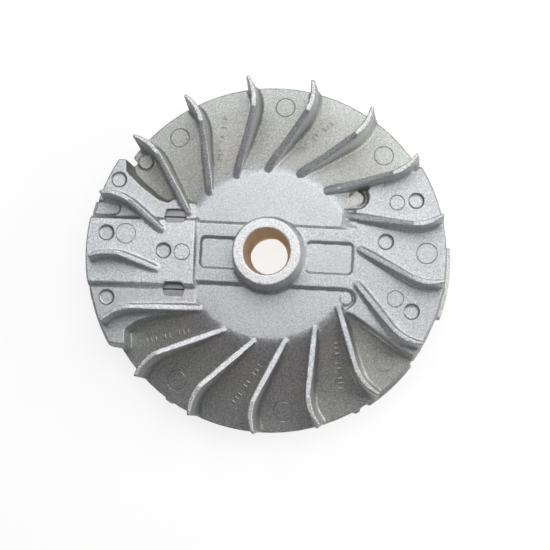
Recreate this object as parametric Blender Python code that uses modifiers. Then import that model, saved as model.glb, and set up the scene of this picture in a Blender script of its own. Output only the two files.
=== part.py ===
"""Fan flywheel of a small petrol engine: one die casting that holds a magnet and two pole shoes.

Metres, +Z up. +Z runs along the crankshaft bore, from the hub's back face (z = 0) to the fan side.
The magnet block lies on the -X side and the counterweight sector on the +X side.
"""

import math

import bmesh
import bpy
from mathutils import Matrix, Vector

MM = 0.001

# Heights above the hub's back face.
HEAVY_BACK_Z = 1.6 * MM
RIM_BACK_Z = 2.0 * MM
LIP_BACK_Z = 2.3 * MM
RIM_Z = 9.0 * MM
PLATEAU_Z = 19.8 * MM
PANEL_Z = 20.5 * MM
SECTOR_Z = 20.99 * MM
BAR_Z = 21.0 * MM
BLOCK_Z = 22.2 * MM
VANE_Z = 31.4 * MM
BOSS_Z = 33.0 * MM

# Turned shape.
DISC_R = 68.0 * MM
BLOCK_R = 71.0 * MM
SECTOR_R = 68.5 * MM
DISC_SEGMENTS = 80
HUB_SEGMENTS = 48
DISH_RIM_SLOPE = 0.194
DISH_EASE = 3.31
SHOULDER_START_R = 31.6 * MM
SHOULDER_END_R = 35.4 * MM
WEB_T = 5.0 * MM
RIM_RING_T = 5.4 * MM
WEB_FLAT_R = 36.0 * MM
HUB_BACK_R = 17.0 * MM
HUB_BACK_FILLET = 2.2 * MM
HUB_BACK_EDGE = 0.6 * MM

# Hub boss and the bore that goes on the crankshaft.
BOSS_TOP_R = 13.05 * MM
BOSS_ROOT_R = 14.1 * MM
BOSS_EDGE = 0.35 * MM
BOSS_FILLET = 1.1 * MM
BORE_TOP_R = 8.85 * MM
BORE_THROAT_R = 7.15 * MM
BORE_THROAT_Z = 16.4 * MM
BORE_BACK_R = 8.8 * MM
BORE_BACK_LEAD = 0.5 * MM
KEYWAY_W = 3.0 * MM
KEYWAY_DEPTH = 1.5 * MM
KEYWAY_ANGLE = math.radians(-50.0)

# Fan vanes: a straight blade that bends towards the rim.
VANE_COUNT = 17
FIRST_VANE_ANGLE = math.radians(138.6)
VANE_PITCH = 2.0 * math.pi / VANE_COUNT
VANE_TIP_R = 68.0 * MM
VANE_OVERHANG = 0.6 * MM
VANE_SWEEP = math.radians(22.0)
VANE_TIP_LEAN = math.radians(27.0)
VANE_BEND_R = 15.2 * MM
VANE_CREST_END_R = 56.8 * MM
VANE_INNER_R = 32.6 * MM
VANE_HALF_CREST = 1.05 * MM
VANE_HALF_TIP = 0.6 * MM
VANE_HALF_ROOT = 1.8 * MM
VANE_TIP_TAPER = 8.0 * MM
VANE_NOSE = 1.3 * MM
VANE_NOSE_END = 0.5
VANE_SINK = 2.2 * MM
VANE_NARROWING = 0.26
VANE_NARROWING_L = 12.0 * MM
VANE_FLARE = 0.6 * MM
VANE_TIP_FLARE = 0.4 * MM
VANE_FLARE_H = 1.1 * MM
SHORT_VANES = {15: 42.6 * MM, 16: 41.5 * MM}
SECTOR_VANES = {7: 34.6 * MM, 8: 35.0 * MM}

# The bar across the plateau and its two pockets, in a frame turned by BAR_TURN.
BAR_TURN = math.radians(-3.3)
BAR_HALF_W = 12.5 * MM
BAR_DRAFT = 1.25 * MM
BAR_CORNER_R = 2.0 * MM
BAR_LEFT_X = -30.0 * MM
BAR_RIGHT_X = 39.0 * MM
POCKET_HALF_W = 5.5 * MM
POCKET_CORNER_R = 1.3 * MM
POCKET_DEPTH = 1.2 * MM
POCKET_DRAFT = 0.9 * MM
LEFT_POCKET_X = (-25.9 * MM, -12.0 * MM)
RIGHT_POCKET_X = (15.0 * MM, 32.0 * MM)

# Magnet block and its neighbours, in a frame turned by BLOCK_TURN.
BLOCK_TURN = math.radians(-2.1)
BLOCK_HALF_W = 13.6 * MM
BLOCK_INNER_X = -27.7 * MM
BLOCK_DRAFT = 1.2 * MM

# Magnet and pole shoes.
MAGNET_SIZE = (15.0 * MM, 28.4 * MM, 13.2 * MM)
MAGNET_X = -38.0 * MM
MAGNET_EDGE = 0.4 * MM
POLE_W = 4.9 * MM
POLE_GAP = 0.15 * MM
POLE_FACE_R = 70.9 * MM
POLE_TOP_Z = 18.6 * MM
PLATE_COUNT = 12
PLATE_T = 1.0 * MM
PLATE_GAP = 0.11 * MM
PLATE_CORNER = 0.8 * MM
RIVET_R = 1.2 * MM
RIVET_HEAD_R = 1.9 * MM
RIVET_HEAD_T = 0.8 * MM
RIVET_PLAY = 0.2 * MM
RIVET_X = (-46.5 * MM, -62.0 * MM)
NEST_GAP = 0.3 * MM

# Magnet housing and counterweight mass behind the disc.
HOUSING_WALL = 2.6 * MM
HOUSING_TAPER = 1.0 * MM
HOUSING_TOP_Z = 14.3 * MM
MASS_INNER_R = 48.0 * MM
MASS_TOP_Z = 15.0 * MM

# Ribs and lips behind the disc.
RIB_COUNT = 8
RIB_START = math.radians(22.5)
RIB_T = 3.2 * MM
RIB_BACK_Z = 4.5 * MM
RIB_PEAK = (34.0 * MM, 16.0 * MM)
LIP_T = 5.5 * MM
LIP_DEPTH = 3.0 * MM

# Small cast details.
PIN_R = 2.9 * MM
PIN_DEPTH = 1.0 * MM
TONGUE_R = 2.75 * MM
TONGUE_CENTRE = (-60.9 * MM, 16.8 * MM)
TONGUE_DEPTH = 1.1 * MM
WINDOW_SIZE = (8.4 * MM, 5.2 * MM)
WINDOW_LEAN = 0.9 * MM
WINDOW_X = -36.6 * MM
WINDOW_STAGGER = 0.2 * MM
CUT_BEYOND = 3.0 * MM

COLOURS = {
    "cast_aluminium": ((0.66, 0.67, 0.66), 0.5, 1.0),
    "magnet_alloy": ((0.30, 0.30, 0.31), 0.42, 1.0),
    "pole_steel": ((0.45, 0.45, 0.46), 0.36, 1.0),
    "rivet_steel": ((0.55, 0.54, 0.52), 0.33, 1.0),
}


# ---- scene and object helpers ----


def clear_scene():
    for old in list(bpy.data.objects):
        bpy.data.objects.remove(old, do_unlink=True)


def new_collection(name):
    group = bpy.data.collections.new(name)
    bpy.context.scene.collection.children.link(group)
    return group


def make_material(name):
    colour, roughness, metallic = COLOURS[name]
    made = bpy.data.materials.new(name)
    made.use_nodes = True
    shader = made.node_tree.nodes["Principled BSDF"]
    shader.inputs["Base Color"].default_value = (*colour, 1.0)
    shader.inputs["Roughness"].default_value = roughness
    shader.inputs["Metallic"].default_value = metallic
    return made


def add_object(name, mesh, group):
    made = bpy.data.objects.new(name, mesh)
    group.objects.link(made)
    return made


def move_to_collection(made, group):
    for owner in list(made.users_collection):
        owner.objects.unlink(made)
    group.objects.link(made)


def as_tool(tool):
    tool.hide_render = True
    tool.display_type = "WIRE"
    return tool


def turned(name, profile, group, segments=DISC_SEGMENTS, closed=False):
    """A solid of revolution about Z from (radius, height) points that run down its outer side."""
    mesh = bpy.data.meshes.new(name)
    points = [(radius, 0.0, height) for radius, height in profile]
    edges = [(i, i + 1) for i in range(len(points) - 1)]
    if closed:
        edges.append((len(points) - 1, 0))
    mesh.from_pydata(points, edges, [])
    made = add_object(name, mesh, group)
    screw = made.modifiers.new("turn", "SCREW")
    screw.steps = segments
    screw.render_steps = segments
    screw.use_merge_vertices = True
    screw.merge_threshold = 0.00001
    screw.use_smooth_shade = True
    return made


def outline_object(name, outline, z_low, z_high, group, turn=0.0):
    """A flat 2D curve outline, given thickness from z_low to z_high and made a welded mesh."""
    curve = bpy.data.curves.new(name + "_outline", "CURVE")
    curve.dimensions = "2D"
    curve.fill_mode = "BOTH"
    curve.extrude = (z_high - z_low) / 2.0
    spline = curve.splines.new("POLY")
    spline.points.add(len(outline) - 1)
    for point, (x, y) in zip(spline.points, outline):
        point.co = (x, y, 0.0, 1.0)
    spline.use_cyclic_u = True
    guide = bpy.data.objects.new(name + "_outline", curve)
    guide.location.z = (z_high + z_low) / 2.0
    guide.rotation_euler.z = turn
    group.objects.link(guide)
    bpy.context.view_layer.update()
    depsgraph = bpy.context.evaluated_depsgraph_get()
    mesh = bpy.data.meshes.new_from_object(guide.evaluated_get(depsgraph))
    mesh.name = name
    mesh.transform(guide.matrix_world)
    bpy.data.objects.remove(guide, do_unlink=True)
    shape = bmesh.new()
    shape.from_mesh(mesh)
    bmesh.ops.remove_doubles(shape, verts=shape.verts, dist=0.000001)
    bmesh.ops.recalc_face_normals(shape, faces=shape.faces)
    shape.to_mesh(mesh)
    shape.free()
    return add_object(name, mesh, group)


def drafted_pad(name, outline, z_low, z_high, group, draft, drop, turn=0.0):
    """A pad whose side leans in by draft over the top drop of its height."""
    made = outline_object(name, outline, z_low, z_high - drop, group, turn)
    shape = bmesh.new()
    shape.from_mesh(made.data)
    top = [face for face in shape.faces if face.normal.z > 0.9]
    bmesh.ops.inset_region(shape, faces=top, thickness=draft, depth=drop, use_even_offset=True)
    shape.to_mesh(made.data)
    shape.free()
    return made


def cut_with(target, tool):
    cut = target.modifiers.new("cut", "BOOLEAN")
    cut.operation = "DIFFERENCE"
    cut.solver = "EXACT"
    cut.object = tool


def combine_with_all(target, operation, group):
    """Join or cut the target with every object of a collection at once."""
    change = target.modifiers.new(operation.lower(), "BOOLEAN")
    change.operation = operation
    change.solver = "EXACT"
    change.operand_type = "COLLECTION"
    change.collection = group


# ---- plane geometry helpers ----


def polar(radius, degrees):
    angle = math.radians(degrees)
    return (radius * math.cos(angle), radius * math.sin(angle))


def arc(radius, start, end, steps, centre=(0.0, 0.0)):
    """Points from start to end degrees on a circle about centre, both ends included."""
    points = []
    for i in range(steps + 1):
        x, y = polar(radius, start + (end - start) * i / steps)
        points.append((centre[0] + x, centre[1] + y))
    return points


def rounded_box(x_low, x_high, y_low, y_high, radius, steps=4):
    corners = (
        ((x_high - radius, y_high - radius), 0.0),
        ((x_low + radius, y_high - radius), 90.0),
        ((x_low + radius, y_low + radius), 180.0),
        ((x_high - radius, y_low + radius), 270.0),
    )
    points = []
    for centre, start in corners:
        points += arc(radius, start, start + 90.0, steps, centre)
    return points


def turned_point(point, angle):
    x, y = point
    return (
        x * math.cos(angle) - y * math.sin(angle),
        x * math.sin(angle) + y * math.cos(angle),
    )


def millimetres(*points):
    return [(x * MM, y * MM) for x, y in points]


# ---- the disc with its dished fan floor, web, rim ring and back hub ----


def dish_z(radius):
    """Height of the dished fan floor, which eases out towards the rim."""
    inward = DISC_R - radius
    return RIM_Z + DISH_RIM_SLOPE * inward + DISH_EASE * inward * inward


def floor_z(radius):
    """Height of the whole fan side, with the plateau's edge rounded into the dish."""
    if radius <= SHOULDER_START_R:
        return PLATEAU_Z
    if radius >= SHOULDER_END_R:
        return dish_z(radius)
    span = SHOULDER_END_R - SHOULDER_START_R
    t = (radius - SHOULDER_START_R) / span
    end_slope = -(DISH_RIM_SLOPE + 2.0 * DISH_EASE * (DISC_R - SHOULDER_END_R))
    fall = dish_z(SHOULDER_END_R) - PLATEAU_Z
    slope_rise = t * t * (t - 1.0) * end_slope * span
    return PLATEAU_Z + fall * t * t * (3.0 - 2.0 * t) + slope_rise


def steps_between(start, end, count):
    return [start + (end - start) * i / count for i in range(count + 1)]


def disc_profile():
    profile = [(0.0, PLATEAU_Z)]
    profile += [(r, floor_z(r)) for r in steps_between(SHOULDER_START_R, SHOULDER_END_R, 4)]
    profile += [(r, floor_z(r)) for r in steps_between(SHOULDER_END_R, DISC_R, 6)[1:]]
    ring_r = DISC_R - RIM_RING_T
    profile += [(DISC_R, RIM_BACK_Z), (ring_r, RIM_BACK_Z)]
    web_r = ring_r - 0.8 * MM
    profile += [(r, dish_z(r) - WEB_T) for r in steps_between(web_r, WEB_FLAT_R, 4)]
    web_z = PLATEAU_Z - WEB_T
    profile.append((HUB_BACK_R + HUB_BACK_FILLET, web_z))
    profile.append((HUB_BACK_R + 0.35 * HUB_BACK_FILLET, web_z - HUB_BACK_FILLET))
    profile += [(HUB_BACK_R, HUB_BACK_EDGE), (HUB_BACK_R - HUB_BACK_EDGE, 0.0), (0.0, 0.0)]
    return profile


def boss_profile():
    root_z = PLATEAU_Z + BOSS_FILLET
    return [
        (0.0, BOSS_Z),
        (BOSS_TOP_R - BOSS_EDGE, BOSS_Z),
        (BOSS_TOP_R, BOSS_Z - BOSS_EDGE),
        (BOSS_ROOT_R, root_z + 0.6 * MM),
        (BOSS_ROOT_R + 0.35 * BOSS_FILLET, PLATEAU_Z + 0.5 * BOSS_FILLET),
        (BOSS_ROOT_R + BOSS_FILLET, PLATEAU_Z - 0.1 * MM),
        (BOSS_ROOT_R + BOSS_FILLET, PLATEAU_Z - 2.0 * MM),
        (0.0, PLATEAU_Z - 2.0 * MM),
    ]


def bore_profile():
    lead_r = BORE_BACK_R + BORE_BACK_LEAD
    return [
        (0.0, BOSS_Z + CUT_BEYOND),
        (BORE_TOP_R + BOSS_EDGE, BOSS_Z + CUT_BEYOND),
        (BORE_TOP_R + BOSS_EDGE, BOSS_Z),
        (BORE_TOP_R, BOSS_Z - BOSS_EDGE),
        (BORE_THROAT_R, BORE_THROAT_Z),
        (BORE_BACK_R, BORE_BACK_LEAD),
        (lead_r, 0.0),
        (lead_r, -CUT_BEYOND),
        (0.0, -CUT_BEYOND),
    ]


# ---- vanes ----


def vane_point(distance):
    """Centre-line point (along the radius, across it) at a distance inward from the tip."""
    bend = VANE_SWEEP + VANE_TIP_LEAN
    bend_length = VANE_BEND_R * bend
    turned_by = min(distance, bend_length) / VANE_BEND_R
    heading = VANE_TIP_LEAN - turned_by
    along = VANE_TIP_R - VANE_BEND_R * (math.sin(VANE_TIP_LEAN) - math.sin(heading))
    across = VANE_BEND_R * (math.cos(VANE_TIP_LEAN) - math.cos(heading))
    straight = max(0.0, distance - bend_length)
    along -= straight * math.cos(VANE_SWEEP)
    across += straight * math.sin(VANE_SWEEP)
    return along, across, heading


def vane_length(inner_r):
    """Centre-line length from the tip in to the radius inner_r, by halving."""
    low, high = 0.0, VANE_TIP_R
    for _ in range(40):
        middle = (low + high) / 2.0
        along, across, _heading = vane_point(middle)
        if math.hypot(along, across) > inner_r:
            low = middle
        else:
            high = middle
    return low


def vane_section(distance, length, inner_r, inner_z):
    """Half widths and heights of the vane's drafted section at a distance from the tip."""
    along, across, heading = vane_point(distance)
    radius = math.hypot(along, across)
    slope = (VANE_Z - inner_z) / (VANE_CREST_END_R - inner_r)
    top_z = min(VANE_Z, inner_z + slope * (radius - inner_r))
    open_up = math.sin(0.5 * math.pi * min(1.0, distance / VANE_TIP_TAPER))
    crest = VANE_HALF_TIP + (VANE_HALF_CREST - VANE_HALF_TIP) * open_up
    flare = VANE_TIP_FLARE + (VANE_FLARE - VANE_TIP_FLARE) * open_up
    from_end = length - distance
    nose = 1.0 - VANE_NARROWING * max(0.0, 1.0 - from_end / VANE_NARROWING_L)
    if from_end < VANE_NOSE:
        swell = math.sqrt(max(0.0, 1.0 - (1.0 - from_end / VANE_NOSE) ** 2))
        nose *= VANE_NOSE_END + (1.0 - VANE_NOSE_END) * swell
    ground = floor_z(min(radius, DISC_R))

    def half_width(z):
        share = (VANE_Z - z) / (VANE_Z - RIM_Z)
        return (crest + (VANE_HALF_ROOT - crest) * share) * nose

    flare_z = min(ground + VANE_FLARE_H, top_z - 0.2 * MM)
    rows = [
        (half_width(top_z), top_z),
        (half_width(flare_z), flare_z),
        (half_width(ground) + flare * nose, ground - 0.3 * MM),
        (half_width(ground) + flare * nose, ground - VANE_SINK),
    ]
    return along, across, heading, rows


def vane(index, group):
    """One vane, lofted through its sections from the rim to its inner nose."""
    inner_r, inner_z = VANE_INNER_R, PLATEAU_Z + 0.1 * MM
    if index in SHORT_VANES:
        inner_r, inner_z = SHORT_VANES[index], BLOCK_Z + 0.1 * MM
    if index in SECTOR_VANES:
        inner_r, inner_z = SECTOR_VANES[index], BAR_Z + 0.2 * MM
    length = vane_length(inner_r)
    bend_length = VANE_BEND_R * (VANE_SWEEP + VANE_TIP_LEAN)
    crest_end = vane_length(VANE_CREST_END_R)
    distances = [0.0, 1.0 * MM, 3.0 * MM, 5.5 * MM, 8.0 * MM, crest_end, bend_length]
    distances += steps_between(bend_length, length - VANE_NOSE, 3)[1:]
    distances += [length - 0.55 * VANE_NOSE, length - 0.15 * VANE_NOSE, length]
    distances = sorted(distances)
    angle = FIRST_VANE_ANGLE - index * VANE_PITCH
    shape = bmesh.new()
    rings = []
    for distance in distances:
        along, across, heading, rows = vane_section(distance, length, inner_r, inner_z)
        side = Vector((-math.sin(heading), math.cos(heading)))
        ring = []
        outline = [(w, z) for w, z in rows] + [(-w, z) for w, z in reversed(rows)]
        for width, z in outline:
            lean = VANE_OVERHANG * max(0.0, (z - RIM_Z) / (VANE_Z - RIM_Z))
            lean *= max(0.0, 1.0 - distance / VANE_TIP_TAPER)
            x = along + side.x * width + lean
            ring.append(shape.verts.new((x, across + side.y * width, z)))
        rings.append(ring)
    count = len(rings[0])
    for near, far in zip(rings, rings[1:]):
        for i in range(count):
            j = (i + 1) % count
            shape.faces.new((near[i], far[i], far[j], near[j]))
    shape.faces.new(rings[0])
    shape.faces.new(list(reversed(rings[-1])))
    bmesh.ops.recalc_face_normals(shape, faces=shape.faces)
    bmesh.ops.rotate(shape, verts=shape.verts, matrix=Matrix.Rotation(angle, 3, "Z"))
    name = f"vane_{index + 1:02d}"
    mesh = bpy.data.meshes.new(name)
    shape.to_mesh(mesh)
    shape.free()
    return as_tool(add_object(name, mesh, group))


# ---- raised areas of the casting ----


def bar(group):
    outline = rounded_box(BAR_LEFT_X, BAR_RIGHT_X, -BAR_HALF_W, BAR_HALF_W, BAR_CORNER_R, 2)
    low = PLATEAU_Z - 2.5 * MM
    pad = drafted_pad("bar", outline, low, BAR_Z, group, BAR_DRAFT, 1.3 * MM, BAR_TURN)
    return as_tool(pad)


def magnet_block(group):
    """The highest step, over the magnet, between straight sides."""
    outer = BLOCK_R + BLOCK_DRAFT
    edge = math.degrees(math.asin(BLOCK_HALF_W / outer))
    outline = arc(outer, 180.0 - edge, 180.0 + edge, 10)
    outline += [(BLOCK_INNER_X, -BLOCK_HALF_W), (BLOCK_INNER_X, BLOCK_HALF_W)]
    low = HOUSING_TOP_Z - 1.3 * MM
    pad = drafted_pad("block", outline, low, BLOCK_Z, group, BLOCK_DRAFT, 1.8 * MM, BLOCK_TURN)
    return as_tool(pad)


def upper_panel(group):
    """The step next to the block on its upper side, which ends at the first vane's pocket."""
    outline = arc(BLOCK_R + 0.2 * MM, 146.2, 169.0, 8)
    outline += millimetres((-50.0, 6.0), (-26.7, 6.0), (-26.7, 21.2), (-32.8, 22.8))
    outline += millimetres((-37.2, 23.6), (-39.3, 22.4), (-42.0, 23.2), (-48.8, 28.6))
    outline += millimetres((-54.0, 33.9), (-54.1, 39.3))
    return as_tool(drafted_pad("upper_panel", outline, 8.0 * MM, PANEL_Z, group, 1.4 * MM, 8.0 * MM))


def lower_panel(group):
    """The step next to the block on its lower side, which ends under a vane."""
    outline = arc(BLOCK_R + 0.2 * MM, 187.0, 208.8, 8)
    outline += millimetres((-55.1, -35.4), (-54.9, -29.0), (-51.2, -26.2), (-45.5, -24.2))
    outline += millimetres((-27.6, -22.4), (-27.6, -6.0))
    outline += millimetres((-50.0, -6.0))
    return as_tool(drafted_pad("lower_panel", outline, 8.0 * MM, PANEL_Z, group, 1.0 * MM, 3.2 * MM))


def magnet_housing(group):
    """The thick stock behind the block and panels that surrounds the magnet and pole shoes."""
    half = MAGNET_SIZE[1] / 2.0 + POLE_W + HOUSING_WALL
    edge = math.degrees(math.asin(half / BLOCK_R))
    outline = arc(BLOCK_R + 0.2 * MM, 180.0 - edge, 180.0 + edge, 14)
    inner = half - HOUSING_TAPER
    outline += [(BLOCK_INNER_X, -inner), (BLOCK_INNER_X, inner)]
    low, high = HEAVY_BACK_Z, HOUSING_TOP_Z
    return as_tool(outline_object("housing", outline, low, high, group, BLOCK_TURN))


def counterweight_sector(group):
    """The raised sector opposite the magnet, with a round bay at each inner corner."""
    outline = arc(SECTOR_R, -35.9, 30.0, 16)
    outline += millimetres((46.0, 27.5), (39.0, 26.4))
    outline += arc(4.3 * MM, 35.0, -95.0, 8, (34.2 * MM, 22.2 * MM))
    outline += millimetres((33.2, 16.6), (33.6, 6.0))
    outline += millimetres((33.0, -8.0), (28.0, -11.0))
    outline += arc(3.3 * MM, 90.0, -75.0, 7, (29.8 * MM, -17.1 * MM))
    outline += millimetres((28.3, -22.6), (31.9, -23.4))
    low = RIM_Z - 0.7 * MM
    return as_tool(drafted_pad("sector", outline, low, SECTOR_Z, group, 0.45 * MM, 2.6 * MM))


def sector_ramp(group):
    """The gentle slope from the plateau up to the counterweight sector."""
    outline = millimetres((27.0, 17.6), (26.0, 5.0), (45.0, 5.0), (45.0, 17.6))
    return as_tool(drafted_pad("ramp", outline, 16.0 * MM, BAR_Z - 0.04 * MM, group, 6.0 * MM, 1.4 * MM))


def counterweight_mass(group):
    """The thick arc behind the sector that balances the magnet."""
    outline = arc(SECTOR_R, -35.9, 29.5, 16) + arc(MASS_INNER_R, 29.5, -35.9, 10)
    return as_tool(outline_object("mass", outline, HEAVY_BACK_Z, MASS_TOP_Z, group))


def back_lip(name, radius, start, end, group):
    """A stretch of rim ring that stands out past the disc's edge at the back."""
    steps = max(2, round((end - start) / 4.0))
    outline = arc(radius, start, end, steps) + arc(DISC_R - LIP_DEPTH, end, start, steps)
    return as_tool(outline_object(name, outline, LIP_BACK_Z, LIP_BACK_Z + LIP_T, group))


def back_ribs(group):
    """Radial ribs behind the web, from the hub to the rim ring."""
    inner, outer = HUB_BACK_R - 2.0 * MM, DISC_R - RIM_RING_T + 1.5 * MM
    side = [(inner, RIB_PEAK[1]), (inner, RIB_BACK_Z), (outer, RIB_BACK_Z)]
    side += [(outer, RIM_Z - 1.5 * MM), RIB_PEAK]
    upright = Matrix.Rotation(math.pi / 2.0, 4, "X")
    for i in range(RIB_COUNT):
        angle = RIB_START + i * 2.0 * math.pi / RIB_COUNT
        rib = outline_object(f"rib_{i + 1}", side, -RIB_T / 2.0, RIB_T / 2.0, group)
        rib.data.transform(Matrix.Rotation(angle, 4, "Z") @ upright)
        as_tool(rib)


def round_pad(name, x, y, radius, z_low, z_high, group):
    bpy.ops.mesh.primitive_cylinder_add(
        vertices=24,
        radius=radius,
        depth=z_high - z_low,
        location=(x, y, (z_high + z_low) / 2.0),
    )
    pad = bpy.context.active_object
    pad.name = name
    move_to_collection(pad, group)
    return as_tool(pad)


def ejector_pads(group):
    """Round pads that the ejector pins leave: two in the bays and one by the first vane."""
    round_pad("bay_pad", 34.1 * MM, 22.1 * MM, 2.9 * MM, 13.0 * MM, 17.9 * MM, group)
    round_pad("bar_pad", 29.8 * MM, -17.1 * MM, 2.4 * MM, 15.0 * MM, PLATEAU_Z + 0.25 * MM, group)
    round_pad("rim_pad", -49.1 * MM, 38.4 * MM, 2.9 * MM, 7.0 * MM, 12.0 * MM, group)


# ---- cuts in the casting ----


def bore_cutter(group):
    return as_tool(turned("bore", bore_profile(), group, HUB_SEGMENTS))


def keyway_cutter(group):
    """A slot in the tapered part of the bore for the crankshaft's key."""
    reach = BORE_BACK_R + KEYWAY_DEPTH
    outline = rounded_box(0.0, reach, -KEYWAY_W / 2.0, KEYWAY_W / 2.0, 0.3 * MM, 1)
    top = BORE_THROAT_Z - 3.0 * MM
    return as_tool(outline_object("keyway", outline, -2.0 * MM, top, group, KEYWAY_ANGLE))


def pocket_cutter(name, x_range, group):
    """A shallow pocket in the bar, whose sides open out from its floor."""
    outline = rounded_box(*x_range, -POCKET_HALF_W, POCKET_HALF_W, POCKET_CORNER_R)
    high = BAR_Z + 0.4 * MM
    floor = BAR_Z - POCKET_DEPTH
    spread = -POCKET_DRAFT * (high - floor) / POCKET_DEPTH
    pad = drafted_pad(name, outline, floor, high, group, spread, high - floor - 0.01 * MM, BAR_TURN)
    return as_tool(pad)


def pin_mark_cutters(group):
    """Round recesses where the die's pins held the magnet and pole shoes, and their twins."""
    panel, block = PANEL_Z, BLOCK_Z
    marks = (
        (-58.3, 30.1, panel),
        (-62.9, 9.1, block),
        (-40.6, 1.9, block),
        (-62.9, -15.9, panel),
        (57.0, 20.5, BAR_Z),
        (45.2, 4.7, BAR_Z),
        (54.8, -22.3, BAR_Z),
    )
    for i, (x, y, surface) in enumerate(marks):
        name = f"pin_mark_{i + 1}"
        low, high = surface - PIN_DEPTH, surface + 2.0 * MM
        round_pad(name, x * MM, y * MM, PIN_R, low, high, group)


def tongue_cutter(group):
    """A round-ended step down at the rim over the upper pole shoe."""
    outer, middle = -BLOCK_R - CUT_BEYOND, TONGUE_CENTRE[1]
    outline = arc(TONGUE_R, 90.0, -90.0, 8, TONGUE_CENTRE)
    outline += [(outer, middle - TONGUE_R), (outer, middle + TONGUE_R)]
    low, high = PANEL_Z - TONGUE_DEPTH, BLOCK_Z + CUT_BEYOND
    return as_tool(outline_object("tongue", outline, low, high, group, BLOCK_TURN))


def window_cutters(group):
    """Six-sided openings where the magnet meets each pole shoe."""
    half_x, half_y = WINDOW_SIZE[0] / 2.0, WINDOW_SIZE[1] / 2.0
    seam = (MAGNET_SIZE[1] + POLE_GAP) / 2.0
    for name, side in (("upper_window", 1.0), ("lower_window", -1.0)):
        centre_y = side * seam
        centre_x = WINDOW_X - side * WINDOW_STAGGER
        outline = [
            (centre_x - half_x, centre_y),
            (centre_x - half_x + WINDOW_LEAN, centre_y - half_y),
            (centre_x + half_x - WINDOW_LEAN, centre_y - half_y),
            (centre_x + half_x, centre_y),
            (centre_x + half_x - WINDOW_LEAN, centre_y + half_y),
            (centre_x - half_x + WINDOW_LEAN, centre_y + half_y),
        ]
        low, high = POLE_TOP_Z - 0.5 * MM, BLOCK_Z + CUT_BEYOND
        as_tool(outline_object(name, outline, low, high, group, BLOCK_TURN))


def pole_outline(side):
    """A pole shoe's outline: a leg from beside the magnet to the rim, with a curved outer face."""
    near = MAGNET_SIZE[1] / 2.0 + POLE_GAP
    far = near + POLE_W
    inner_x = MAGNET_X + MAGNET_SIZE[0] / 2.0
    start = 180.0 - math.degrees(math.asin(far / POLE_FACE_R))
    end = 180.0 - math.degrees(math.asin(near / POLE_FACE_R))
    outline = arc(POLE_FACE_R, start, end, 3)
    outline += [(inner_x - PLATE_CORNER, near), (inner_x, near + PLATE_CORNER)]
    outline += [(inner_x, far - PLATE_CORNER), (inner_x - PLATE_CORNER, far)]
    return [(x, side * y) for x, y in outline]


def nest_cutter(group):
    """The room in the casting for the magnet and pole shoes, open at the rim and the windows."""
    near = MAGNET_SIZE[1] / 2.0 + POLE_GAP - NEST_GAP
    far = near + POLE_W + 2.0 * NEST_GAP
    left = MAGNET_X - MAGNET_SIZE[0] / 2.0 - NEST_GAP
    right = MAGNET_X + MAGNET_SIZE[0] / 2.0 + NEST_GAP
    beyond = -BLOCK_R - CUT_BEYOND
    upper = [(right, far), (beyond, far), (beyond, near), (left, near)]
    outline = upper + [(x, -y) for x, y in reversed(upper)]
    low = POLE_TOP_Z - stack_height() - NEST_GAP
    high = POLE_TOP_Z + NEST_GAP
    return as_tool(outline_object("nest", outline, low, high, group, BLOCK_TURN))


def rim_notch_cutter(group):
    """A shallow notch in the rim between the upper panel and the first vane."""
    outline = arc(65.2 * MM, 143.7, 145.6, 1) + arc(70.5 * MM, 145.6, 143.0, 1)
    return as_tool(outline_object("rim_notch", outline, 0.0, 30.0 * MM, group))


def rim_trim_cutter(group):
    """A ring that turns the outside of the magnet block to its finished radius."""
    outer = BLOCK_R + 2.0 * CUT_BEYOND
    high, low = BOSS_Z + CUT_BEYOND, -CUT_BEYOND
    profile = [(BLOCK_R, high), (outer, high), (outer, low), (BLOCK_R, low)]
    return as_tool(turned("rim_trim", profile, group, closed=True))


# ---- the parts ----


def flywheel_casting(parts, adds, cuts, material):
    """The whole die casting: disc, vanes, boss, raised areas, nest, bore and keyway."""
    casting = turned("flywheel_casting", disc_profile(), parts)
    casting.data.materials.append(material)
    as_tool(turned("boss", boss_profile(), adds, HUB_SEGMENTS))
    for index in range(VANE_COUNT):
        vane(index, adds)
    bar(adds)
    magnet_block(adds)
    upper_panel(adds)
    lower_panel(adds)
    magnet_housing(adds)
    counterweight_sector(adds)
    sector_ramp(adds)
    counterweight_mass(adds)
    back_lip("right_lip", 70.2 * MM, -20.3, 3.0, adds)
    back_lip("lower_lip", 69.2 * MM, -56.5, -37.5, adds)
    back_lip("lower_bump", 69.0 * MM, -61.8, -59.6, adds)
    back_lip("left_bump", 68.7 * MM, -127.0, -124.4, adds)
    back_ribs(adds)
    ejector_pads(adds)
    bore_cutter(cuts)
    keyway_cutter(cuts)
    pocket_cutter("left_pocket", LEFT_POCKET_X, cuts)
    pocket_cutter("right_pocket", RIGHT_POCKET_X, cuts)
    pin_mark_cutters(cuts)
    tongue_cutter(cuts)
    window_cutters(cuts)
    nest_cutter(cuts)
    rim_notch_cutter(cuts)
    rim_trim_cutter(cuts)
    return casting


def magnet(parts, material):
    bpy.ops.mesh.primitive_cube_add(size=1.0)
    block = bpy.context.active_object
    block.name = "magnet"
    block.data.transform(Matrix.Diagonal((*MAGNET_SIZE, 1.0)))
    centre_z = POLE_TOP_Z - stack_height() / 2.0
    block.location = (*turned_point((MAGNET_X, 0.0), BLOCK_TURN), centre_z)
    block.rotation_euler.z = BLOCK_TURN
    block.data.materials.append(material)
    edge = block.modifiers.new("edge", "BEVEL")
    edge.width = MAGNET_EDGE
    edge.segments = 1
    move_to_collection(block, parts)


def stack_height():
    return PLATE_COUNT * PLATE_T + (PLATE_COUNT - 1) * PLATE_GAP


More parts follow.
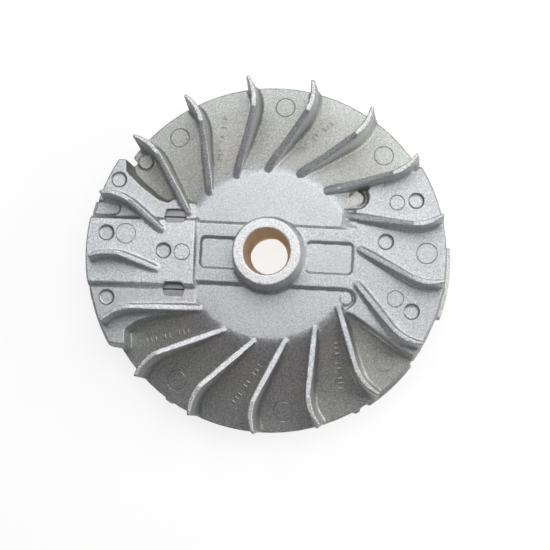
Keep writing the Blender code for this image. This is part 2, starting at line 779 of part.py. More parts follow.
def rivet_hole(name, spot, z, top_r, bottom_r, group):
    """A hole cutter through one plate, which may widen towards one of its faces."""
    over = 0.1 * MM
    reach = PLATE_T / 2.0 + over
    widen = (top_r - bottom_r) / PLATE_T * over
    profile = [(0.0, reach), (top_r + widen, reach), (bottom_r - widen, -reach), (0.0, -reach)]
    hole = turned(name, profile, group, 12)
    hole.location = (*spot, z)
    return as_tool(hole)


def pole_shoe(name, side, parts, holes, steel, rivet_steel):
    """A stack of steel plates, each its own piece, held by two flush rivets."""
    outline = pole_outline(side)
    centre_y = side * (MAGNET_SIZE[1] / 2.0 + POLE_GAP + POLE_W / 2.0)
    spots = [turned_point((x, centre_y), BLOCK_TURN) for x in RIVET_X]
    plain_r, head_r = RIVET_R + RIVET_PLAY, RIVET_HEAD_R + RIVET_PLAY
    for i in range(PLATE_COUNT):
        high = POLE_TOP_Z - i * (PLATE_T + PLATE_GAP)
        label = f"{name}_plate_{i + 1:02d}"
        plate = outline_object(label, outline, high - PLATE_T, high, parts, BLOCK_TURN)
        plate.data.materials.append(steel)
        top_r = head_r if i == 0 else plain_r
        bottom_r = head_r if i == PLATE_COUNT - 1 else plain_r
        for j, spot in enumerate(spots):
            middle = high - PLATE_T / 2.0
            cut_with(plate, rivet_hole(f"{label}_hole_{j + 1}", spot, middle, top_r, bottom_r, holes))
    for j, spot in enumerate(spots):
        rivet(f"{name}_rivet_{j + 1}", spot, parts, rivet_steel)


def rivet(name, spot, parts, material):
    """A flush rivet with a cone head at each end."""
    half = stack_height() / 2.0
    profile = [
        (0.0, half),
        (RIVET_HEAD_R, half),
        (RIVET_R, half - RIVET_HEAD_T),
        (RIVET_R, -half + RIVET_HEAD_T),
        (RIVET_HEAD_R, -half),
        (0.0, -half),
    ]
    made = turned(name, profile, parts, 16)
    made.location = (*spot, POLE_TOP_Z - half)
    made.data.materials.append(material)


def build():
    clear_scene()
    parts = new_collection("flywheel")
    adds = new_collection("casting_additions")
    cuts = new_collection("casting_cutters")
    holes = new_collection("rivet_hole_cutters")
    cast = make_material("cast_aluminium")
    steel = make_material("pole_steel")
    rivet_steel = make_material("rivet_steel")
    casting = flywheel_casting(parts, adds, cuts, cast)
    magnet(parts, make_material("magnet_alloy"))
    pole_shoe("upper_pole", 1.0, parts, holes, steel, rivet_steel)
    pole_shoe("lower_pole", -1.0, parts, holes, steel, rivet_steel)
    combine_with_all(casting, "UNION", adds)
    combine_with_all(casting, "DIFFERENCE", cuts)
    bpy.context.view_layer.update()


build()
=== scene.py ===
import math

import bmesh
import bpy
import numpy as np
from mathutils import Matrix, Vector


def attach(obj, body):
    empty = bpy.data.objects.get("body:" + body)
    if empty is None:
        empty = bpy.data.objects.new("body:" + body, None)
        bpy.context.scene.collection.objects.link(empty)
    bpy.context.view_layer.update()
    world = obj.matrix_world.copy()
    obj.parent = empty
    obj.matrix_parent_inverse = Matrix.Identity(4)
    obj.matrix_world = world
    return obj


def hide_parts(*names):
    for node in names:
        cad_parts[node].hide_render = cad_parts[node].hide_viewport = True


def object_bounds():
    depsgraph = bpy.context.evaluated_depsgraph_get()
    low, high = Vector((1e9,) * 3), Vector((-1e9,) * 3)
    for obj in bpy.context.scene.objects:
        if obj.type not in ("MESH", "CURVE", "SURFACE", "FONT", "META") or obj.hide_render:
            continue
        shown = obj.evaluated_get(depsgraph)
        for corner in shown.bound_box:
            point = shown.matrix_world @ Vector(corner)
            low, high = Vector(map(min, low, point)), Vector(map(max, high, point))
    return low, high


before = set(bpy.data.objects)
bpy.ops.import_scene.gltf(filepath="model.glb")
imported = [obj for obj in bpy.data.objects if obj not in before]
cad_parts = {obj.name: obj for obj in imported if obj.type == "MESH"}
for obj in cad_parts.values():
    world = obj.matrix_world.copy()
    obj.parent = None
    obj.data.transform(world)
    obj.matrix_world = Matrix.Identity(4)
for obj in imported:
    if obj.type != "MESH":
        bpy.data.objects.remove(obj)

CAD_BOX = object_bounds()
MM = 0.001

# Casting surface: weld distance, remesh size, smoothing rounds and triangle budget.
WELD = 0.002 * MM
VOXEL = 0.4 * MM
EDGE_ROUNDS = 2
FILLET_PASSES = 4
FILLET_ROUNDS = 3
CASTING_TRIANGLES = 185000

# Turned fan side: a level plateau, a rounded shoulder and the dish out to the rim.
DISC_R = 68.0 * MM
RIM_Z = 9.0 * MM
PLATEAU_Z = 19.8 * MM
DISH_SLOPE = 0.194
DISH_EASE = 3.31
SHOULDER = (31.6 * MM, 35.4 * MM)
BOSS_ROOT_R = 15.5 * MM
CREST_Z = 31.4 * MM
BORE_R = 9.3 * MM
LEVELS = (20.5 * MM, 20.99 * MM, 21.0 * MM, 22.2 * MM, CREST_Z, 33.0 * MM)

# Edge rounding: the share of it that sharp features keep, and the part that the vanes'
# crests lose, between two depths below them.
SHARP_SHARE = 0.35
CREST_CUT = 0.6
CREST_CUT_DEPTHS = (0.9 * MM, 0.5 * MM)

# Fillets: the inward bend where they start and where they are full, and how far they spread.
HOLLOW_BEND = (0.01 * VOXEL, 0.06 * VOXEL)
HOLLOW_SPREAD = 0.9

# A point counts as fan floor or as a level face this close to it in height, and with at
# least this upward part in its normal. The first pairs fade between their two values.
FLOOR_CATCH = (0.08 * MM, 0.22 * MM)
FLOOR_FACING = (0.85, 0.92)
LEVEL_CATCH = 0.02 * MM
LEVEL_FACING = 0.99
SHADED_FLOOR = (0.02 * MM, 0.85)
SHADED_LEVEL = (0.015 * MM, 0.9)

# Sharp-walled features, in millimetres: round pin marks, and boxes in turned frames. They
# stay sharp out to the first margin, and the rounding is full past the second.
PIN_R = 2.9 * MM
PINS = (
    (-58.3, 30.1),
    (-62.9, 9.1),
    (-40.6, 1.9),
    (-62.9, -15.9),
    (57.0, 20.5),
    (45.2, 4.7),
    (54.8, -22.3),
)
BAR_TURN = math.radians(-3.3)
BLOCK_TURN = math.radians(-2.1)
SHARP_BOXES = (
    (-25.9, -12.0, -5.5, 5.5, BAR_TURN),
    (15.0, 32.0, -5.5, 5.5, BAR_TURN),
    (-41.0, -32.2, 11.5, 17.1, BLOCK_TURN),
    (-41.0, -32.2, -17.1, -11.5, BLOCK_TURN),
    (-72.0, -58.0, 14.0, 19.6, BLOCK_TURN),
)
SHARP_MARGIN = (0.7 * MM, 1.3 * MM)

# Witness rings of the ejector pins, in millimetres: the radius, reach and angles of those
# on the fan floor, and (x, y, radius) of the raised ones. Then their line and sunk middle.
FLOOR_RING_R = 3.75
FLOOR_RING_REACH = 60.0
FLOOR_RING_ANGLES = (126.6, 84.2, 41.9, -42.8, -85.2, -127.5)
RAISED_RINGS = (
    (-55.4, 8.7, 3.8),
    (-33.5, 1.3, 3.06),
    (49.6, 19.9, 2.85),
    (60.8, 0.1, 3.95),
    (48.6, -17.3, 3.1),
)
RING_GROOVE = 0.2 * MM
RING_HALF_W = 0.14 * MM
RING_SINK = 0.05 * MM
RING_SINK_EDGE = 0.2 * MM

# Rows of short raised ticks on the fan floor, between pairs of vanes.
VANE_COUNT = 17
FIRST_VANE_ANGLE = math.radians(138.6)
VANE_SWEEP = math.radians(22.0)
TICK_ROWS = (1, 3, 9, 11, 13)
TICK_START = (58.0 * MM, 0.9 * MM)
TICKS = (0, 1, 2, 4, 5, 7, 8, 9)
TICK_STEP = 1.9 * MM
TICK_HALF = (0.26 * MM, 0.75 * MM)
TICK_RISE = 0.2 * MM
TICK_EDGE = (-0.1 * MM, 0.22 * MM)

# Finer faces under the relief: the reach round a ring's line, the margins of a tick row,
# the cuts in each edge, and the upward part of the normals that take part.
RING_ZONE = 0.75 * MM
ROW_ZONE = (1.0 * MM, 1.5 * MM)
DETAIL_CUTS = 2
DETAIL_FACE_UP = 0.85
DETAIL_FACING = (0.8, 0.9)

# Painted zones: the crests outside the boss, between two depths below their tops; the bore
# wall, where a brown reflection is painted; the circles' lines of painted shade.
CREST_PAINT_DEPTHS = (0.5 * MM, 0.2 * MM)
CREST_PAINT_R = 20.0 * MM
CREST_PAINT_FACING = (0.5, 0.8)
BORE_PAINT_EDGE = 0.5 * MM
BORE_PAINT_FACING = (0.3, 0.7)
# Thin dark circles of painted shade in the ring grooves and round the pin marks' walls: their half
# width, the height they stop at, and their strength at rings and at pins.
LINE_HALF_W = 1.4 * RING_HALF_W
LINE_TOP_Z = CREST_Z - 2.0 * MM
RING_LINE_SHADE = 0.6
PIN_LINE_SHADE = 1.0

# Base tone of the casting by height in millimetres: the floor a little green, the higher
# faces cooler and brighter, the boss's top brightest.
TONE_SPAN = 35.0
LEVEL_TONES = (
    (9.8, (0.615, 0.638, 0.618)),
    (13.3, (0.612, 0.618, 0.592)),
    (17.5, (0.615, 0.615, 0.592)),
    (19.425, (0.632, 0.652, 0.666)),
    (21.175, (0.622, 0.640, 0.654)),
    (21.875, (0.725, 0.748, 0.765)),
    (32.2, (0.720, 0.735, 0.745)),
    (32.9, (0.84, 0.85, 0.86)),
)

# Pale floor: half its width, the gap under the wheel, its tones and its glow.
FLOOR_REACH = 3.0
FLOOR_GAP = 0.3 * MM
FLOOR_SEEN_TONE = (0.3, 0.3, 0.3)
FLOOR_BOUNCE_TONE = (0.8, 0.8, 0.8)
FLOOR_GLOW = 0.82

WORLD_TINT = (1.0, 0.95, 1.0)
WORLD_STRENGTH = 0.15

# Camera: high above the wheel, a little below and to the right of its axis.
CAMERA_PLACE = (0.04541, -0.08005, 0.69483)
CAMERA_TILT = (math.radians(6.11), math.radians(3.64), 0.0)
CAMERA_LENS = 115.53
CAMERA_SENSOR = 36.0


# ---- mesh helpers ----


def coordinates(mesh):
    co = np.empty(len(mesh.vertices) * 3)
    mesh.vertices.foreach_get("co", co)
    return co.reshape(-1, 3)


def set_coordinates(mesh, co):
    mesh.vertices.foreach_set("co", co.astype(np.float32).ravel())
    mesh.update()


def normals(mesh):
    values = np.empty(len(mesh.vertices) * 3)
    mesh.vertex_normals.foreach_get("vector", values)
    return values.reshape(-1, 3)


def edge_pairs(mesh):
    pairs = np.empty(len(mesh.edges) * 2, np.int64)
    mesh.edges.foreach_get("vertices", pairs)
    return pairs.reshape(-1, 2)


def neighbour_count(pairs, size):
    return np.bincount(pairs.ravel(), minlength=size).astype(float)


def neighbour_mean(values, pairs, count):
    """Mean of each vertex's neighbours, for values of one or more columns."""
    a, b = pairs[:, 0], pairs[:, 1]
    size = len(values)
    total = np.empty_like(values)
    for k in range(values.shape[1]):
        total[:, k] = np.bincount(a, values[b, k], size) + np.bincount(b, values[a, k], size)
    return total / count[:, None]


def relax(co, pairs, weight, rounds):
    """Move each vertex half way to its neighbours' mean, times its own weight."""
    count = neighbour_count(pairs, len(co))
    for _ in range(rounds):
        co = co + 0.5 * weight[:, None] * (neighbour_mean(co, pairs, count) - co)
    return co


def smooth_step(low, high, value):
    t = np.clip((value - low) / (high - low), 0.0, 1.0)
    return t * t * (3.0 - 2.0 * t)


def circle_distance(co, x, y, radius):
    """How far each point lies outside an upright cylinder, and below 0 inside it."""
    return np.hypot(co[:, 0] - x, co[:, 1] - y) - radius


def box_distance(co, box):
    """How far each point lies outside a box in a turned frame, and below 0 inside it."""
    x_low, x_high, y_low, y_high, turn = box
    x = co[:, 0] * math.cos(turn) + co[:, 1] * math.sin(turn)
    y = co[:, 1] * math.cos(turn) - co[:, 0] * math.sin(turn)
    off_x = np.maximum(x_low * MM - x, x - x_high * MM)
    off_y = np.maximum(y_low * MM - y, y - y_high * MM)
    return np.maximum(off_x, off_y)


def apply_modifier(obj, kind, **settings):
    """Run one modifier on an object and keep its result as the object's mesh."""
    modifier = obj.modifiers.new(kind.lower(), kind)
    for key, value in settings.items():
        setattr(modifier, key, value)
    bpy.context.view_layer.update()
    depsgraph = bpy.context.evaluated_depsgraph_get()
    mesh = bpy.data.meshes.new_from_object(obj.evaluated_get(depsgraph))
    obj.modifiers.remove(modifier)
    old = obj.data
    obj.data = mesh
    bpy.data.meshes.remove(old)
    return mesh


def welded_copy(node, name):
    """A new object with a copy of a node's solid, its doubled points merged."""
    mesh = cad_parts[node].data.copy()
    shape = bmesh.new()
    shape.from_mesh(mesh)
    bmesh.ops.remove_doubles(shape, verts=shape.verts, dist=WELD)
    shape.to_mesh(mesh)
    shape.free()
    obj = bpy.data.objects.new(name, mesh)
    bpy.context.scene.collection.objects.link(obj)
    return obj


# ---- casting geometry ----


def dish_height(drop):
    """Height of the dish at a distance in from the rim."""
    return RIM_Z + DISH_SLOPE * drop + DISH_EASE * drop**2


def floor_height(radius):
    """Height of the turned fan side at each radius."""
    start, end = SHOULDER
    edge = DISC_R - end
    edge_z = dish_height(edge)
    edge_slope = -(DISH_SLOPE + 2.0 * DISH_EASE * edge)
    t = np.clip((radius - start) / (end - start), 0.0, 1.0)
    shoulder = PLATEAU_Z + (edge_z - PLATEAU_Z) * t * t * (3.0 - 2.0 * t)
    shoulder += t * t * (t - 1.0) * edge_slope * (end - start)
    return np.where(radius < end, shoulder, dish_height(DISC_R - radius))


def floor_normals(co, radius):
    """Exact normals of the turned fan side at each point."""
    step = 0.1 * MM
    slope = (floor_height(radius + step) - floor_height(radius - step)) / (2.0 * step)
    turned = np.stack([-slope * co[:, 0] / radius, -slope * co[:, 1] / radius, np.ones(len(co))], 1)
    return turned / np.linalg.norm(turned, axis=1)[:, None]


def true_floor(co, up):
    """Bring the plateau and fan floor onto the turned shape, free of facets."""
    radius = np.hypot(co[:, 0], co[:, 1])
    error = floor_height(radius) - co[:, 2]
    weight = 1.0 - smooth_step(*FLOOR_CATCH, np.abs(error))
    weight = weight * smooth_step(*FLOOR_FACING, up) * (radius > BOSS_ROOT_R) * (radius < DISC_R)
    co[:, 2] += error * weight
    return co


def true_levels(co, up):
    """Bring the level faces of the pads, crests and boss onto their exact heights."""
    for level in LEVELS:
        error = level - co[:, 2]
        close = (np.abs(error) < LEVEL_CATCH) & (up > LEVEL_FACING)
        co[:, 2] += error * close
    return co


def pin_spots():
    return [(x * MM, y * MM, PIN_R) for x, y in PINS]


def sharp_zone(co):
    """1 round the pin marks, pockets and windows, whose walls stay sharp, and 0 elsewhere."""
    keep = np.zeros(len(co))
    for spot in pin_spots():
        keep = np.maximum(keep, 1.0 - smooth_step(*SHARP_MARGIN, circle_distance(co, *spot)))
    for box in SHARP_BOXES:
        keep = np.maximum(keep, 1.0 - smooth_step(*SHARP_MARGIN, box_distance(co, box)))
    return keep * (co[:, 2] > 0.5 * PLATEAU_Z)


def rounded_casting():
    """The casting's solid with every edge broken and small fillets where surfaces meet."""
    obj = welded_copy("flywheel_casting", "casting")
    mesh = apply_modifier(obj, "REMESH", mode="VOXEL", voxel_size=VOXEL, adaptivity=0.0)
    pairs = edge_pairs(mesh)
    co = coordinates(mesh)
    count = neighbour_count(pairs, len(co))
    soft = 1.0 - sharp_zone(co)
    low, high = (CREST_Z - depth for depth in CREST_CUT_DEPTHS)
    weight = SHARP_SHARE + (1.0 - SHARP_SHARE) * soft
    weight = weight * (1.0 - CREST_CUT * smooth_step(low, high, co[:, 2]))
    co = relax(co, pairs, weight, EDGE_ROUNDS)
    set_coordinates(mesh, co)
    for _ in range(FILLET_PASSES):
        bend = np.einsum("ij,ij->i", neighbour_mean(co, pairs, count) - co, normals(mesh))
        hollow = smooth_step(*HOLLOW_BEND, bend)[:, None]
        hollow = np.maximum(hollow, HOLLOW_SPREAD * neighbour_mean(hollow, pairs, count))
        co = relax(co, pairs, hollow[:, 0] * soft, FILLET_ROUNDS)
        set_coordinates(mesh, co)
    up = normals(mesh)[:, 2]
    set_coordinates(mesh, true_levels(true_floor(co, up), up))
    return obj


def ring_spots():
    spots = []
    for degrees in FLOOR_RING_ANGLES:
        angle = math.radians(degrees)
        x, y = FLOOR_RING_REACH * math.cos(angle), FLOOR_RING_REACH * math.sin(angle)
        spots.append((x * MM, y * MM, FLOOR_RING_R * MM))
    spots += [(x * MM, y * MM, radius * MM) for x, y, radius in RAISED_RINGS]
    return spots


def row_distances(co, row):
    """Each point's distance along a tick row, from its first tick, and across the row.

    A row lies halfway between two vanes and runs in line with their straight parts.
    """
    angle = FIRST_VANE_ANGLE - (row + 0.5) * 2.0 * math.pi / VANE_COUNT
    turn = np.array([[math.cos(angle), -math.sin(angle)], [math.sin(angle), math.cos(angle)]])
    heading = turn @ np.array([-math.cos(VANE_SWEEP), math.sin(VANE_SWEEP)])
    from_start = co[:, :2] - turn @ np.array(TICK_START)
    return from_start @ heading, from_start @ np.array([-heading[1], heading[0]])


def detail_height(co):
    """Height added to the fan side by the ejector rings and the raised ticks."""
    height = np.zeros(len(co))
    for spot in ring_spots():
        off = circle_distance(co, *spot)
        height -= RING_GROOVE * np.exp(-((off / RING_HALF_W) ** 2))
        height -= RING_SINK * (1.0 - smooth_step(-RING_SINK_EDGE, RING_SINK_EDGE, off))
    for row in TICK_ROWS:
        along, across = row_distances(co, row)
        for tick in TICKS:
            off_along = np.abs(along - tick * TICK_STEP) - TICK_HALF[0]
            off_across = np.abs(across) - TICK_HALF[1]
            off = np.maximum(off_along, off_across)
            height += TICK_RISE * (1.0 - smooth_step(*TICK_EDGE, off))
    return height


def detail_zone(centres):
    """True for the faces under the ejector rings and the tick rows."""
    zone = np.zeros(len(centres), bool)
    for spot in ring_spots():
        zone |= np.abs(circle_distance(centres, *spot)) < RING_ZONE
    margin, half_width = ROW_ZONE
    reach = TICKS[-1] * TICK_STEP
    for row in TICK_ROWS:
        along, across = row_distances(centres, row)
        zone |= (along > -margin) & (along < reach + margin) & (np.abs(across) < half_width)
    return zone


def refine_for_detail(obj):
    """Split the faces that carry fine marks, so that the marks are real geometry."""
    mesh = obj.data
    size = len(mesh.polygons) * 3
    centres, facing = np.empty(size), np.empty(size)
    mesh.polygons.foreach_get("center", centres)
    mesh.polygons.foreach_get("normal", facing)
    centres, facing = centres.reshape(-1, 3), facing.reshape(-1, 3)
    chosen = np.nonzero(detail_zone(centres) & (facing[:, 2] > DETAIL_FACE_UP))[0]
    shape = bmesh.new()
    shape.from_mesh(mesh)
    shape.faces.ensure_lookup_table()
    edges = {edge for index in chosen for edge in shape.faces[int(index)].edges}
    bmesh.ops.subdivide_edges(shape, edges=list(edges), cuts=DETAIL_CUTS, use_grid_fill=True)
    shape.to_mesh(mesh)
    shape.free()
    mesh.update()
    co, up = coordinates(mesh), normals(mesh)[:, 2]
    co[:, 2] += detail_height(co) * smooth_step(*DETAIL_FACING, up)
    set_coordinates(mesh, co)


def paint_zones(mesh):
    """Vertex masks of the machined crests, the bore wall with its painted reflection, and the thin
    circles of painted shade.
    """
    co, up = coordinates(mesh), normals(mesh)[:, 2]
    radius = np.hypot(co[:, 0], co[:, 1])
    low, high = (CREST_Z - depth for depth in CREST_PAINT_DEPTHS)
    crest = smooth_step(low, high, co[:, 2])
    crest = crest * (radius > CREST_PAINT_R) * smooth_step(*CREST_PAINT_FACING, up)
    bore = 1.0 - smooth_step(BORE_R, BORE_R + BORE_PAINT_EDGE, radius)
    bore = bore * (1.0 - smooth_step(*BORE_PAINT_FACING, up))
    # Painted shade: dark thin lines along the ring grooves and at the foot of the pin marks' walls.
    painted_line_shade = np.zeros(len(co))
    marks = [(spot, RING_LINE_SHADE) for spot in ring_spots()]
    marks += [(spot, PIN_LINE_SHADE) for spot in pin_spots()]
    for spot, depth in marks:
        off = circle_distance(co, *spot)
        painted_line_shade = np.maximum(painted_line_shade, depth * np.exp(-((off / LINE_HALF_W) ** 2)))
    painted_line_shade *= (co[:, 2] > RIM_Z) * (co[:, 2] < LINE_TOP_Z)
    for name, values in (("crest", crest), ("bore", bore), ("painted_line_shade", painted_line_shade)):
        layer = mesh.attributes.new(name, "FLOAT", "POINT")
        layer.data.foreach_set("value", values.astype(np.float32))


def shading_normals(mesh):
    """Vertex normals led by the largest faces, and exact on the level faces and the dish."""
    mesh.calc_loop_triangles()
    corner = np.empty(len(mesh.loop_triangles) * 3, np.int32)
    mesh.loop_triangles.foreach_get("vertices", corner)
    corner = corner.reshape(-1, 3)
    co = coordinates(mesh)
    first, second, third = (co[corner[:, k]] for k in range(3))
    cross = np.cross(second - first, third - first)
    weighted = cross * np.linalg.norm(cross, axis=1)[:, None]
    total = np.zeros_like(co)
    for k in range(3):
        for axis in range(3):
            total[:, axis] += np.bincount(corner[:, k], weighted[:, axis], len(co))
    total /= np.maximum(np.linalg.norm(total, axis=1), 1e-30)[:, None]
    catch, facing = SHADED_LEVEL
    for level in LEVELS:
        total[(np.abs(co[:, 2] - level) < catch) & (total[:, 2] > facing)] = (0.0, 0.0, 1.0)
    catch, facing = SHADED_FLOOR
    radius = np.hypot(co[:, 0], co[:, 1])
    on_floor = (np.abs(co[:, 2] - floor_height(radius)) < catch) & (total[:, 2] > facing)
    on_floor &= radius > BOSS_ROOT_R
    total[on_floor] = floor_normals(co, radius)[on_floor]
    return total


def dress(obj, material):
    obj.data.materials.clear()
    obj.data.materials.append(material)


def build_casting(material):
    obj = rounded_casting()
    refine_for_detail(obj)
    obj.data.calc_loop_triangles()
    ratio = CASTING_TRIANGLES / len(obj.data.loop_triangles)
    if ratio < 1.0:
        apply_modifier(obj, "DECIMATE", decimate_type="COLLAPSE", ratio=ratio)
    obj.data.shade_smooth()
    paint_zones(obj.data)
    dress(obj, material)
    obj.data.normals_split_custom_set_from_vertices(shading_normals(obj.data).tolist())
    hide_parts("flywheel_casting")
    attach(obj, "root")


# ---- materials ----


class Nodes:
    """Short calls for building one material's node tree."""

    def __init__(self, name):
        self.material = bpy.data.materials.new(name)
        self.material.use_nodes = True
        self.tree = self.material.node_tree
        self.shader = self.tree.nodes["Principled BSDF"]

    def add(self, kind, **inputs):
        node = self.tree.nodes.new(kind)
        for key, value in inputs.items():
            self.plug(node.inputs[key], value)
        return node

    def plug(self, socket, value):
        if isinstance(value, bpy.types.NodeSocket):
            self.tree.links.new(value, socket)
        else:
            socket.default_value = value

    def position(self):
        return self.add("ShaderNodeTexCoord").outputs["Object"]

    def stretched(self, vector, scale):
        """Positions scaled on each axis, so that noise draws out into lines."""
        return self.add("ShaderNodeMapping", Vector=vector, Scale=scale).outputs[0]

    def attribute(self, name):
        node = self.add("ShaderNodeAttribute")
        node.attribute_name = name
        return node.outputs["Fac"]

    def noise(self, vector, size, detail=2.0, roughness=0.5):
        """Noise whose features are about size metres across."""
        node = self.add("ShaderNodeTexNoise", Scale=1.0 / size, Detail=detail, Roughness=roughness)
        self.plug(node.inputs["Vector"], vector)
        return node.outputs["Fac"]

    def ramp(self, value, *stops):
        """Colours, or grey levels, at places from 0 to 1 along a value."""
        node = self.add("ShaderNodeValToRGB", Fac=value)
        elements = node.color_ramp.elements
        while len(elements) < len(stops):
            elements.new(0.5)
        for element, (place, colour) in zip(elements, stops):
            element.position = place
            if isinstance(colour, float):
                colour = (colour, colour, colour)
            element.color = (*colour, 1.0)
        return node.outputs["Color"]

    def mix(self, factor, a, b, blend="MIX"):
        node = self.add("ShaderNodeMix")
        node.data_type = "RGBA"
        node.blend_type = blend
        self.plug(node.inputs[0], factor)
        self.plug(node.inputs[6], a)
        self.plug(node.inputs[7], b)
        return node.outputs[2]

    def times(self, colour, by, amount=1.0):
        return self.mix(amount, colour, by, "MULTIPLY")

    def math(self, operation, a, b):
        node = self.add("ShaderNodeMath")
        node.operation = operation
        self.plug(node.inputs[0], a)
        self.plug(node.inputs[1], b)
        return node.outputs[0]

    def bump(self, height, distance, strength=1.0, normal=None):
        node = self.add("ShaderNodeBump", Height=height, Distance=distance, Strength=strength)
        if normal is not None:
            self.plug(node.inputs["Normal"], normal)
        return node.outputs["Normal"]

    def metal(self, colour, roughness, normal):
        self.plug(self.shader.inputs["Base Color"], colour)
        self.plug(self.shader.inputs["Roughness"], roughness)
        self.plug(self.shader.inputs["Metallic"], 1.0)
        self.plug(self.shader.inputs["Normal"], normal)
        return self.material


def rgb(r, g, b):
    return (r, g, b, 1.0)


def level_tone(n, where):
    height = n.add("ShaderNodeSeparateXYZ", Vector=where).outputs["Z"]
    stops = [(z / TONE_SPAN, tone) for z, tone in LEVEL_TONES]
    return n.ramp(n.math("DIVIDE", height, TONE_SPAN * MM), *stops)


def cast_aluminium():
    """Blasted die casting: fine sparkle, slow tint changes, bright crests, thin circles of painted
    shade and a painted brown reflection in the bore.
    """
    n = Nodes("blasted_aluminium")
    where = n.position()
    grain = n.noise(where, 0.36 * MM, 3.0, 0.7)
    speck = n.noise(where, 0.8 * MM, 2.0, 0.6)
    drift = n.noise(where, 17.0 * MM)
    tint = n.ramp(drift, (0.32, (0.985, 1.0, 0.985)), (0.68, (1.01, 0.995, 1.005)))
    shade = n.ramp(grain, (0.28, 0.48), (0.5, 1.0), (0.74, 1.5))
    colour = n.times(n.times(level_tone(n, where), tint), shade)
    colour = n.times(colour, n.ramp(speck, (0.3, 0.74), (0.7, 1.22)), 0.8)
    chips = n.ramp(speck, (0.40, (0.50, 0.51, 0.51)), (0.55, (0.74, 0.75, 0.75)))
    colour = n.mix(n.attribute("crest"), colour, n.times(chips, shade))
    # Painted shade: thin dark circles in the ring grooves and round the pin marks.
    colour = n.mix(n.math("MULTIPLY", n.attribute("painted_line_shade"), 0.65), colour, rgb(0.14, 0.14, 0.14))
    # Painted reflection: a warm brown on the bore wall, standing in for the reflected surroundings.
    painted_bore_reflection = n.mix(speck, rgb(0.84, 0.69, 0.53), rgb(0.98, 0.84, 0.67))
    colour = n.mix(n.attribute("bore"), colour, painted_bore_reflection)
    roughness = n.ramp(speck, (0.25, 0.41), (0.75, 0.54))
    roughness = n.mix(n.attribute("bore"), roughness, rgb(0.60, 0.60, 0.60))
    fine = n.bump(grain, 0.08 * MM)
    return n.metal(colour, roughness, n.bump(speck, 0.06 * MM, 0.7, fine))


def pole_steel():
    """Punched electrical steel: dull grey, with fine shear lines and a little rust bloom."""
    n = Nodes("punched_steel")
    where = n.position()
    lines = n.noise(n.stretched(where, (0.12, 1.0, 1.0)), 0.2 * MM, 3.0, 0.6)
    rusty = n.ramp(n.noise(where, 2.2 * MM, 3.0), (0.5, 0.0), (0.75, 1.0))
    colour = n.mix(rusty, rgb(0.38, 0.38, 0.39), rgb(0.33, 0.30, 0.27))
    colour = n.times(colour, n.ramp(lines, (0.3, 0.7), (0.7, 1.25)))
    colour = n.times(colour, n.ramp(n.noise(where, 0.3 * MM), (0.3, 0.75), (0.7, 1.2)))
    roughness = n.ramp(lines, (0.3, 0.36), (0.7, 0.55))
    return n.metal(colour, roughness, n.bump(lines, 0.03 * MM, 0.8))


def magnet_alloy():
    """Plated magnet alloy: satin grey with grinding marks."""
    n = Nodes("ground_magnet")
    where = n.position()
    marks = n.noise(n.stretched(where, (1.0, 0.08, 1.0)), 0.25 * MM)
    cloud = n.noise(where, 4.0 * MM)
    colour = n.mix(cloud, rgb(0.31, 0.31, 0.32), rgb(0.38, 0.37, 0.36))
    colour = n.times(colour, n.ramp(marks, (0.3, 0.8), (0.7, 1.2)))
    roughness = n.ramp(marks, (0.3, 0.32), (0.7, 0.5))
    return n.metal(colour, roughness, n.bump(marks, 0.02 * MM, 0.7))


def rivet_steel():
    """Plain steel, a little brighter than the plates and finely mottled."""
    n = Nodes("rivet_steel")
    marks = n.noise(n.position(), 0.3 * MM, 3.0, 0.6)
    colour = n.mix(marks, rgb(0.30, 0.29, 0.28), rgb(0.44, 0.43, 0.41))
    roughness = n.ramp(marks, (0.3, 0.3), (0.7, 0.48))
    return n.metal(colour, roughness, n.bump(marks, 0.02 * MM, 0.7))


def dress_nodes():
    """The plates, rivets and magnet show as they are, each in its own metal."""
    steel, alloy, rivet = pole_steel(), magnet_alloy(), rivet_steel()
    for name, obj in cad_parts.items():
        if "plate" in name:
            dress(obj, steel)
        elif "rivet" in name:
            dress(obj, rivet)
        elif name == "magnet":
            dress(obj, alloy)


# ---- floor, light and camera ----


def pale_floor():
    """A plain white that glows when seen, and is clear from behind and for shadow rays."""
    n = Nodes("pale_floor")
    path = n.add("ShaderNodeLightPath")
    seen = path.outputs["Is Camera Ray"]
    tone = n.mix(seen, rgb(*FLOOR_BOUNCE_TONE), rgb(*FLOOR_SEEN_TONE))
    n.plug(n.shader.inputs["Base Color"], tone)
    n.plug(n.shader.inputs["Roughness"], 1.0)
    n.plug(n.shader.inputs["Specular IOR Level"], 0.0)
    n.plug(n.shader.inputs["Emission Color"], rgb(1.0, 1.0, 1.0))
    n.plug(n.shader.inputs["Emission Strength"], n.math("MULTIPLY", seen, FLOOR_GLOW))
    behind = n.add("ShaderNodeNewGeometry").outputs["Backfacing"]
    either = n.add("ShaderNodeMixShader", Fac=n.math("MAXIMUM", behind, path.outputs["Is Shadow Ray"]))
    n.plug(either.inputs[1], n.shader.outputs[0])
    n.plug(either.inputs[2], n.add("ShaderNodeBsdfTransparent").outputs[0])
    n.plug(n.tree.nodes["Material Output"].inputs["Surface"], either.outputs[0])
    return n.material


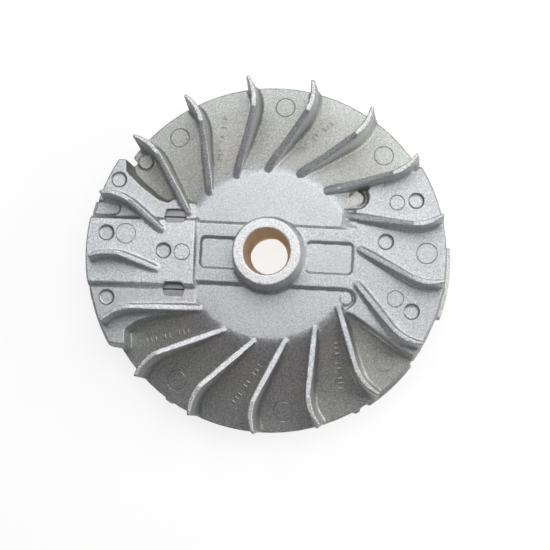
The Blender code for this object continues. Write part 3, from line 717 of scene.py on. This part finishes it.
def floor():
    """A wide plane just under the wheel."""
    mesh = bpy.data.meshes.new("floor")
    signs = ((-1, -1), (1, -1), (1, 1), (-1, 1))
    mesh.from_pydata([(x * FLOOR_REACH, y * FLOOR_REACH, 0) for x, y in signs], [], [(0, 1, 2, 3)])
    mesh.materials.append(pale_floor())
    obj = bpy.data.objects.new("floor", mesh)
    obj.location.z = CAD_BOX[0][2] - FLOOR_GAP
    bpy.context.scene.collection.objects.link(obj)


def area_light(name, place, aim, size, power, colour=(1.0, 1.0, 1.0)):
    lamp = bpy.data.lights.new(name, "AREA")
    lamp.shape = "RECTANGLE"
    lamp.size, lamp.size_y = size
    lamp.energy = power
    lamp.color = colour
    obj = bpy.data.objects.new(name, lamp)
    obj.location = place
    obj.rotation_euler = (Vector(aim) - Vector(place)).to_track_quat("-Z", "Y").to_euler()
    bpy.context.scene.collection.objects.link(obj)


def lights():
    """A broad light overhead, fills from the top and the right, and one for the back."""
    centre = (0.0, 0.0, 0.0)
    area_light("overhead", (0.05, 0.21, 0.5), (0.0, 0.04, 0.0), (0.6, 0.36), 1.55)
    area_light("top_fill", (0.1, 0.6, 0.35), centre, (0.6, 0.3), 0.06, (0.98, 1.0, 0.95))
    area_light("side_fill", (0.95, 0.0, 0.5), centre, (0.5, 0.4), 3.2, (1.0, 0.98, 0.95))
    area_light("under_fill", (0.15, -0.3, -0.5), centre, (0.6, 0.6), 1.6)
    world = bpy.data.worlds.new("studio")
    world.use_nodes = True
    background = world.node_tree.nodes["Background"]
    background.inputs["Color"].default_value = rgb(*WORLD_TINT)
    background.inputs["Strength"].default_value = WORLD_STRENGTH
    bpy.context.scene.world = world


def camera():
    data = bpy.data.cameras.new("camera")
    data.lens = CAMERA_LENS
    data.sensor_width = CAMERA_SENSOR
    obj = bpy.data.objects.new("camera", data)
    obj.location = CAMERA_PLACE
    obj.rotation_euler = CAMERA_TILT
    bpy.context.scene.collection.objects.link(obj)
    bpy.context.scene.camera = obj


# ---- scene ----


def main():
    build_casting(cast_aluminium())
    dress_nodes()
    floor()
    lights()
    camera()
    bpy.context.scene.view_settings.view_transform = "Standard"


main()
